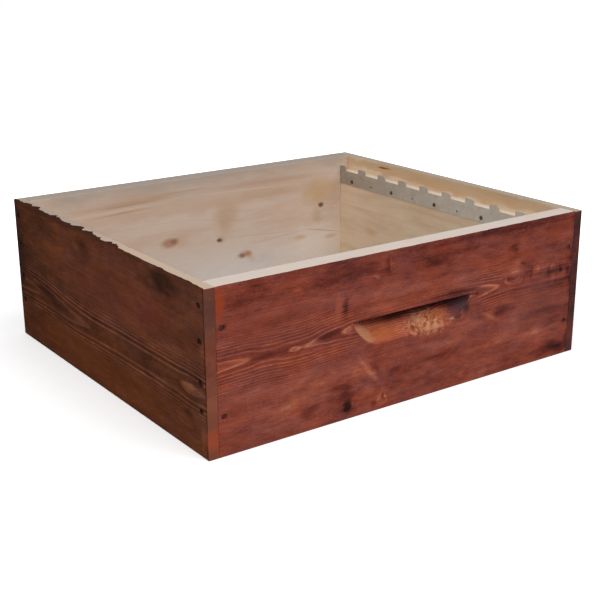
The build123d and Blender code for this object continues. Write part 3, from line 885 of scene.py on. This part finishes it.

# %% [markdown]
# ### Back board
# Only its bare inner face shows: pinkish wood with knots. Painted shade makes it greyer near the rim, and
# painted light paler near the floor. Its outer face is out of sight in the photograph and takes the coat of
# the front.

# %% Back board
LOOKS["back_board"] = {
    "seed": 11.0, "ring": 4.2, "first_ring": 0.4, "flame": (30.0, 90.0), "plain": 0.3, "coat": RED_COAT,
    "glaze": 0.55, "grain": 0.4, "glaze_depth": 16.0, "cut_glaze": -0.16, "cut_lines": 0.4,
    "earlywood": ("#dcc4b2", "#e2ccbc"), "latewood": "#c09672", "lines": 0.22, "warm": 0.4,
    "pith_height": [(-250, 60), (-60, 70), (90, 58), (250, 66)],
    "pith_depth": [(-250, 72.0), (-80, 68.0), (60, 70.0), (150, 66.0), (250, 71.0)],
    "bulges": [
        (-53, 88, 11.0, 7.5, 7.0), (21.5, 80, 4.5, 3.0, 4.0), (59, 53, 8.0, 4.6, 5.0),
        (190, 105, 5.5, 4.0, 5.0),
    ],
    # Painted shade under the top edge and at one end of the hold, and thinner glaze on its floor.
    "hold_glaze_and_shade": [(0, 98, 92, 9, 0.5, 0, 0.2), (-66, 88, 24, 22, 0.35), (10, 80, 60, 9, -0.2)],
    "pools": [(120, 30, 60, 20, 0.2, 0, 0.2), (-160, 130, 50, 20, 0.2, 0, 0.2)],
    "run_over": [(-250, 0.6), (250, 0.6)],
    "tints": [
        # Painted shade makes the wall greyer towards the rim; painted light makes it paler towards the foot
        # and the far right corner.
        ("#b9b0a7", 0, 172, 330, 16, 0.7, 0, 0.2), ("#b39e8d", 0, 158, 330, 24, 0.35, 0, 0.3),
        ("#a99c90", 225, 168, 60, 18, 0.5), ("#cca88d", 0, 133, 330, 16, 0.45, 0, 0.2),
        ("#e9e0da", 0, 14, 330, 76, 0.85, 0, 0.1), ("#fdf0e2", 205, 40, 105, 62, 0.85, 0, 0.2),
        ("#fbe6cf", 228, 85, 24, 80, 0.6),
        # Bands and lines of grain under the rim.
        ("#c4997b", -110, 148.5, 130, 6.5, 0.6, 2), ("#c4997b", 100, 150, 150, 6, 0.5, -0.5),
        ("#b48a66", -108, 146.5, 52, 1.2, 0.45, 2.1, 0.3), ("#a98a70", -30, 153.5, 60, 0.9, 0.4, 0, 0.3),
        ("#e6cdb8", -130, 141, 85, 1.3, 0.6, 1.8, 0.3), ("#e6cdb8", 60, 143, 115, 1.2, 0.5, -1.5, 0.3),
        ("#b98f6c", -120, 137.5, 60, 1.6, 0.5, 2.0, 0.2), ("#c39c7c", 105, 133, 75, 8, 0.3),
        # Stains and single lines.
        ("#a99c90", -190, 164, 60, 16, 0.4), ("#cba788", 31, 108, 27, 35, 0.75),
        ("#bf9a7e", 85, 78, 75, 0.8, 0.4, -4, 0.3), ("#bf9a7e", 120, 70, 70, 0.8, 0.4, 3, 0.3),
        ("#c0946c", 190, 68, 42, 1.0, 0.55, -11.6, 0.3), ("#ccc6ca", 90, 46, 24, 13, 0.35),
        # Knots, each with a tan halo, and resin near them.
        ("#d3ad84", -40, 88, 24, 10, 0.45), ("#b98a72", -55, 88, 15.5, 9.4, 0.85, 0, 0.3),
        ("#976a4d", -46, 89, 9, 7, 0.8), ("#b9946e", 24, 80, 11, 7, 0.5),
        ("#6b4f3a", 21.7, 80, 5, 4, 0.9, 0, 0.3), ("#c7a585", 62, 52, 17, 11, 0.5),
        ("#ba7a4b", 66, 54, 10, 6.5, 0.8, 0, 0.1), ("#8b6650", 57, 53, 7, 5.6, 0.8, 0, 0.2),
        ("#cba672", 186, 124, 33, 27, 0.6, 0, 0.2), ("#c9a87c", 185, 93, 18, 13, 0.5),
        ("#5f4b37", 190, 105, 6.5, 5, 0.9, 0, 0.3), ("#d3a87a", 154, 63, 17, 6, 0.65),
        ("#d6ab80", 207, 57, 17, 5, 0.5),
    ],
    # The rim is grey with painted shade.
    "flats": [("#9d938a", BOARD_HEIGHT, 0.8)],
}
print("back board", len(LOOKS["back_board"]["tints"]), "tints of bare wood")

# %% [markdown]
# ### Left board
# The left board takes the front's glaze with painted shade, so it looks browner and darker. Its lines run
# long and nearly straight, with flames in the lower half. Glaze ran over its upper rim in ragged tongues,
# most of all towards the far end.

# %% Left board
LOOKS["left_board"] = {
    "seed": 23.0, "ring": 1.75, "first_ring": 0.5714, "flame": (20.0, 45.0), "plain": 0.3,
    "coat": SHADED_BROWN_COAT, "glaze": 0.54, "grain": 0.8, "glaze_depth": 2.0, "cut_glaze": -0.42,
    # The runs over the rim take a hue of painted shade, as dark as the shaded face.
    "cut_lines": 0.35, "end_hue": (0.65, "#894839"), "shaded_run_hue": (0.9, "#412820"),
    "earlywood": ("#d8bfa4", "#dec8ae"), "latewood": "#b48f62", "lines": 0.25, "warm": 0.3,
    "tints": HOLE_TINTS,
    "pith_height": [(-220, 64), (-60, 64), (30, 63), (148, 69), (220, 70)],
    "pith_depth": [
        (-220, 41.1), (-210, 41.0), (-192, 40.7), (-173, 41.0), (-165, 41.2), (-60, 41.25), (10, 41.2),
        (30, 41.0), (90, 40.1), (148, 39.25), (220, 38.3),
    ],
    "pools": [
        # Laps of the brush and paler places by the near corner, and painted shade that darkens the far end.
        (-183, 37, 17, 5, 0.4), (-140, 156, 46, 20, 0.4), (235, 85, 220, 400, 0.2),
        (-190, 65, 17, 5.5, -0.2, 0, 0.2), (-214, 110, 8, 14, -0.25), (-212, 20, 9, 18, -0.25),
        (-214, 60, 16, 70, -0.16), (-60, 105, 70, 26, -0.1), (216, 110, 14, 90, 0.2),
        (30, 152, 26, 20, 0.32), (105, 130, 34, 18, -0.16), (140, 100, 30, 8, 0.2),
        # The end grain at the near corner.
        (-222, 150, 7, 30, 0.25, 0, 0.2), (-222, 88, 7, 14, 0.25, 0, 0.1), (-222, 112, 7, 8, 0.2),
        (-222, 128, 7, 6, -0.2), (-222, 24, 7, 26, -0.3, 0, 0.2),
        # Along the upper edge, and painted shade along the lower edge where the board meets the floor.
        (30, 170, 280, 12, 0.08, 0, 0.2), (0, 0, 270, 7, 0.2, 0, 0.3),
    ] + [(*nail, *SIDE_NAIL_POOL) for nail in SIDE_NAILS],
    "casts": [
        # Orange, red and dark places; the near-black one at the far end is painted shade.
        ("#7b3f1d", 0, 22, 330, 44, 0.45, 0, 0.1), ("#804033", -50, 118, 230, 55, 0.4),
        ("#7e3a34", -113, 120, 36, 24, 0.35), ("#8c4c26", 105, 132, 38, 20, 0.35),
        ("#3a2a1e", -140, 157, 34, 14, 0.4), ("#4c332a", 150, 100, 42, 16, 0.3),
        ("#38291f", 207, 112, 20, 56, 0.6), ("#b9563a", -222, 20, 6, 17, 0.85, 0, 0.2),
        ("#b06a50", -222, 56, 6, 13, 0.4, 0, 0.1), ("#63463f", -222, 146, 6, 34, 0.7, 0, 0.3),
    ],
    "run_over": [
        (-220, 0.5), (-180, 1.6), (-158, 0.5), (-135, 1.8), (-110, 0.6), (-80, 1.4), (-60, 1.0), (-46, 4.5),
        (-34, 7.0), (-24, 3.5), (-15, 1.0), (-4, 4.5), (12, 6.0), (38, 7.0), (60, 4.6), (86, 3.6),
        (105, 7.2), (120, 4.0), (147, 3.2), (163, 5.8), (185, 4.2), (220, 1.5),
    ],
    "flats": [
        # The rim is grey with painted shade, most of all towards the far end, and the ledge pale with
        # painted light.
        ("#bea896", BOARD_HEIGHT, 0.8), ("#a99b8d", BOARD_HEIGHT, 0.85, 150, 240),
        ("#efe4d6", LEDGE_HEIGHT, 0.8),
    ],
}
print("left board", len(LOOKS["left_board"]["pools"]), "pools of glaze")

# %% [markdown]
# ### Right board
# Its bare inner face is the yellowest of the four, with a long brown mark of resin above the strip. One end
# shows at the corner beside the front board, and its end grain drank much glaze.

# %% Right board
LOOKS["right_board"] = {
    "seed": 37.0, "ring": 4.2, "first_ring": 0.2, "flame": (30.0, 90.0), "plain": 0.3, "coat": RED_COAT,
    "glaze": 0.6, "grain": 0.4, "glaze_depth": 2.0, "cut_glaze": 0.28, "cut_lines": 0.35,
    "end_hue": (0.5, "#5c403e"), "earlywood": ("#e8cdae", "#eed8bc"), "latewood": "#c09660", "lines": 0.14,
    "warm": 0.5,
    "pith_height": [(-220, 70), (0, 76), (130, 72), (220, 74)],
    "pith_depth": [(-220, 83.0), (220, 83.4)],
    "pools": [
        (100, 40, 60, 20, 0.2, 0, 0.2), (-222, 158, 7, 14, 0.15, 0, 0.2), (-222, 117, 7, 12, -0.15, 0, 0.2),
        (-222, 80, 7, 18, 0.15, 0, 0.2), (-222, 28, 7, 30, -0.2, 0, 0.2),
    ],
    "run_over": [(-220, 0.6), (220, 0.6)],
    # The rim is grey with painted shade, and the ledge pale with painted light.
    "flats": [("#a39a8f", BOARD_HEIGHT, 0.85), ("#e8dccd", LEDGE_HEIGHT, 0.8)],
    "tints": [
        ("#cba983", 0, 164, 260, 14, 0.7, 0, 0.6), ("#d0a062", 129, 74, 22, 8, 0.5),
        ("#bd7a38", 117.5, 164, 19, 2.6, 0.85, -2, 0.3), ("#7a4a20", 121, 163.6, 13, 1.1, 0.9, -2, 0.3),
    ] + HOLE_TINTS,
}
print("right board", len(LOOKS["right_board"]["tints"]), "tints of bare wood")

# %% [markdown]
# ## One material a board
# Rings come first, then the bare and the glazed colour, and the mask that chooses between them. Latewood
# stands a little proud of the softer earlywood, so the lines and fibres also give a fine relief. Planed
# softwood, and a thin glaze that sank into it, scatter light among open fibres and look matt from every
# side. So both are rough, the glaze a little less, and neither has a highlight.

# %% Board materials
# Each wobble: length and width in millimetres, its reach along, up and in, and the detail of its noise.
SWAY, SHIVER = (190.0, 70.0, (0, 2.0, 0.3)), (22.0, 5.0, (0, 0.6, 0.08))
RAG, LOOSE = (9.0, 4.0, (6.0, 3.0, 0), 3.0), (26.0, 14.0, (34.0, 22.0, 0), 2.0)
# Real fibres are too fine to show, so they are drawn a millimetre wide.
FIBRES = (26.0, 1.0, 3.0, 0.6)
BARE_ROUGHNESS, GLAZED_ROUGHNESS, WOOD_SHINE = 0.75, 0.6, 0.0
LINE_RELIEF, RELIEF_STRENGTH, RELIEF_DEPTH = 0.6, 0.35, 0.3
for name, look in LOOKS.items():
    board = {**COMMON, **BOARDS[name], **look}
    material, tree, shader = new_material(name.replace("_", " ") + ", planed spruce glazed outside")
    place = board_place(tree, board)
    moved = wobbled(tree, wobbled(tree, place, board, *SWAY), board, *SHIVER)
    fine = wobbled(tree, place, board, *RAG)
    ragged = [fine, wobbled(tree, fine, board, *LOOSE)]
    share, clear, rare = spruce_rings(tree, moved, ragged, board)
    fibre = streaks(tree, moved, board, *FIBRES)
    bare = bare_spruce(tree, place, moved, ragged, board, share, rare, fibre)
    taken, lines = glaze_taken(tree, place, moved, ragged, board, share, clear)
    glazed = glazed_spruce(tree, place, ragged, board, taken)
    if name == TORN_BOARD:
        glazed = torn_knot(tree, place, ragged, board, glazed)
        glazed = lay_over(tree, glazed, hold_layers(tree, place, ragged, board))
    mask = glaze_mask(tree, place, board)
    colour = add_node(tree, "Mix", {"Factor": mask, "A": bare, "B": glazed}, data_type="RGBA")
    gloss = add_node(tree, "MapRange",
                     {"Value": mask, "To Min": BARE_ROUGHNESS, "To Max": GLAZED_ROUGHNESS})
    ridges = add_node(tree, "Math", [lines, LINE_RELIEF, fibre], operation="MULTIPLY_ADD")
    relief = add_node(tree, "Bump",
                      {"Height": ridges, "Strength": RELIEF_STRENGTH, "Distance": RELIEF_DEPTH * MM})
    plug(tree, shader,
         {"Base Color": colour, "Roughness": gloss, "Specular IOR Level": WOOD_SHINE, "Normal": relief})
    board["piece"].data.materials.append(material)
    print(name, len(tree.nodes), "nodes")

# %% [markdown]
# ## Galvanised strips and nails
# The spacers are stamped from hot-dip galvanised sheet: zinc, a grey metal whose crystals show as faint
# spangles and which dulls within weeks, so it is metal with a rough surface. The nails have three finishes.
# The heads in the end boards were brushed over with glaze, and the tacks that hold the strips turned brown.
# The wire nails in the side boards rusted and sit deep in their holes, so their near black is rust and
# painted shade. Rust and glaze hide the bare steel, so no nail looks like metal. One loop makes all three.

# %% Galvanised strips
SPANGLE, ZINC_STOPS = 6.0, [(0.0, "#b0a99e"), (1.0, "#bab3a8")]
ZINC_SMOOTH, ZINC_DULL = 0.56, 0.64


def dress(names, material):
    """Gives CAD nodes a material."""
    for name in names:
        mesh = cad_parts[name].data
        mesh.materials.clear()
        mesh.materials.append(material)


material, tree, shader = new_material("galvanised steel sheet, dulled zinc")
coordinates = add_node(tree, "TexCoord").outputs["Object"]
spangle = add_node(tree, "TexVoronoi", {"Vector": coordinates, "Scale": PER_MM / SPANGLE})
tone = add_node(tree, "SeparateColor", [spangle.outputs["Color"]])
zinc = add_node(tree, "ValToRGB", {"Fac": tone}, stops=ZINC_STOPS)
dulled = add_node(tree, "MapRange", {"Value": tone, "To Min": ZINC_SMOOTH, "To Max": ZINC_DULL})
plug(tree, shader, {"Base Color": zinc, "Roughness": dulled, "Metallic": 1.0})
dress(["left_frame_spacer", "right_frame_spacer"], material)
print("spangles", SPANGLE, "mm wide")

# %% Nails
# Each finish: its name, patches in millimetres, its darkest and palest colour, its roughness and its shine.
NAIL_FINISHES = {
    "_face_nails": ("steel nail head, glazed over", 2.5, "#44261f", "#673b30", 0.6, 0.1),
    # The wire nails sit deep in their holes: their near black is rust and painted shade.
    "_side_nails": ("drawn steel wire, rusted, with painted shade", 1.5, "#150e0b", "#2a1c16", 0.75, 0.1),
    "_spacer_nails": ("cut steel tack, browned", 1.5, "#33291f", "#54453a", 0.7, 0.5),
}
TARNISH_FROM, TARNISH_TO, TARNISH_DETAIL = 0.3, 0.7, 3.0
for ending, (finish, patch, dark, pale, roughness, shine) in NAIL_FINISHES.items():
    material, tree, shader = new_material(finish)
    coordinates = add_node(tree, "TexCoord").outputs["Object"]
    tarnish = add_node(tree, "TexNoise",
                       {"Vector": coordinates, "Scale": PER_MM / patch, "Detail": TARNISH_DETAIL})
    steel = add_node(tree, "ValToRGB", {"Fac": tarnish}, stops=[(TARNISH_FROM, dark), (TARNISH_TO, pale)])
    plug(tree, shader, {"Base Color": steel, "Roughness": roughness, "Specular IOR Level": shine})
    groups = [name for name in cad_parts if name.endswith(ending)]
    dress(groups, material)
    print(finish, len(groups), "groups of nails")
